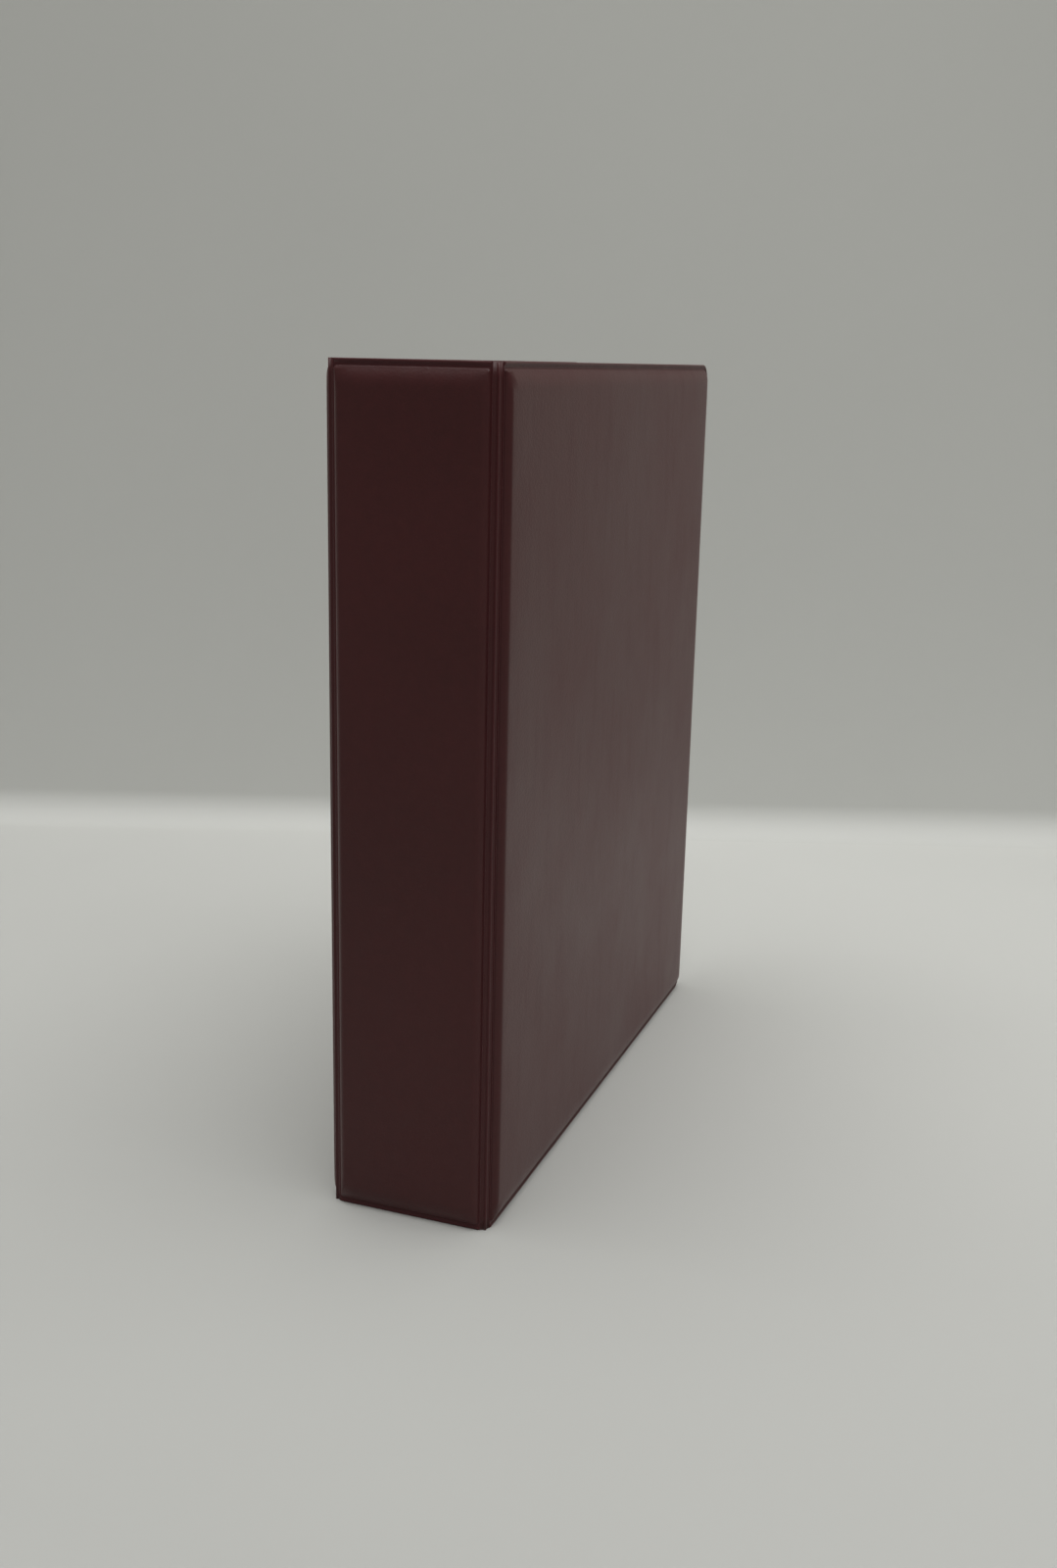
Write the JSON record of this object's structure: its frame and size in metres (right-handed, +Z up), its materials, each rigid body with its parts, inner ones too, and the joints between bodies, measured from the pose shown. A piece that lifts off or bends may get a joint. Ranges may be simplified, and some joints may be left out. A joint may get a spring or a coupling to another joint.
{
  "type": "ring binder",
  "caption": "Welded vinyl ring binder for Letter sheets with hinged covers and a D-ring mechanism opened by trigger levers, standing closed.",
  "frame": {"origin": "on the ground under the middle of the closed standing case", "axes": "+Z up along the spine, spine faces -Y, fore-edge at +Y, front cover at +X, back cover at -X"},
  "size_m": [0.0647, 0.254, 0.2921],
  "materials": {
    "cover_vinyl": "fine leather grain, semi-matt, dark maroon",
    "liner_vinyl": "fine leather grain, semi-matt, dark maroon",
    "pocket_vinyl": "fine leather grain, semi-matt, dark maroon",
    "board": "grey-brown chipboard",
    "ring_wire": "bright nickel plate",
    "plate_steel": "bright nickel plate",
    "blade_steel": "zinc plated spring steel",
    "lever_steel": "bright nickel plate",
    "pin_steel": "plain steel",
    "rivet_steel": "bright nickel plate"
  },
  "bodies": {
    "spine": {"spine_board": "board", "spine_outer_vinyl": "cover_vinyl", "spine_inner_liner": "liner_vinyl", "front_hinge_web": "cover_vinyl", "back_hinge_web": "cover_vinyl"},
    "front_cover": {"front_board": "board", "front_outer_vinyl": "cover_vinyl", "front_inner_liner": "liner_vinyl", "front_pocket": "pocket_vinyl"},
    "back_cover": {"back_board": "board", "back_outer_vinyl": "cover_vinyl", "back_inner_liner": "liner_vinyl", "back_pocket": "pocket_vinyl", "ring_cover_plate": "plate_steel", "rivet_posts": "rivet_steel", "rivet_caps": "rivet_steel", "trigger_pin_top": "pin_steel", "trigger_pin_bottom": "pin_steel"},
    "straight_ring_bar": {"straight_side_blade": "blade_steel", "straight_ring_half_bottom": "ring_wire", "straight_ring_half_middle": "ring_wire", "straight_ring_half_top": "ring_wire"},
    "curved_ring_bar": {"curved_side_blade": "blade_steel", "curved_ring_half_bottom": "ring_wire", "curved_ring_half_middle": "ring_wire", "curved_ring_half_top": "ring_wire"},
    "top_trigger": {"trigger_top": "lever_steel"},
    "bottom_trigger": {"trigger_bottom": "lever_steel"}
  },
  "joints": [
    {"name": "front_cover_hinge", "type": "hinge", "parent": "spine", "child": "front_cover", "pos_m": [0.028, -0.12476, 0], "axis": [0, 0, -1], "range_deg": [0, 178], "deforming": ["front_hinge_web"]},
    {"name": "back_cover_hinge", "type": "hinge", "parent": "spine", "child": "back_cover", "pos_m": [-0.028, -0.12476, 0], "axis": [0, 0, 1], "range_deg": [0, 178], "deforming": ["back_hinge_web"]},
    {"name": "curved_ring_bar_hinge", "type": "hinge", "parent": "back_cover", "child": "curved_ring_bar", "pos_m": [-0.0254, -0.0987, 0], "axis": [0, 0, -1], "range_deg": [0, 14]},
    {"name": "straight_ring_bar_hinge", "type": "hinge", "parent": "back_cover", "child": "straight_ring_bar", "pos_m": [-0.0254, -0.0783, 0], "axis": [0, 0, 1], "range_deg": [0, 14]},
    {"name": "top_trigger_pivot", "type": "hinge", "parent": "back_cover", "child": "top_trigger", "pos_m": [-0.0253, -0.0885, 0.27205], "axis": [0, -1, 0], "range_deg": [0, 28]},
    {"name": "bottom_trigger_pivot", "type": "hinge", "parent": "back_cover", "child": "bottom_trigger", "pos_m": [-0.0253, -0.0885, 0.02005], "axis": [0, 1, 0], "range_deg": [0, 28]}
  ],
  "couplings": [
    {"joint": "straight_ring_bar_hinge", "follows": "curved_ring_bar_hinge", "ratio": 1},
    {"joint": "top_trigger_pivot", "follows": "curved_ring_bar_hinge", "ratio": 2},
    {"joint": "bottom_trigger_pivot", "follows": "curved_ring_bar_hinge", "ratio": 2}
  ]
}
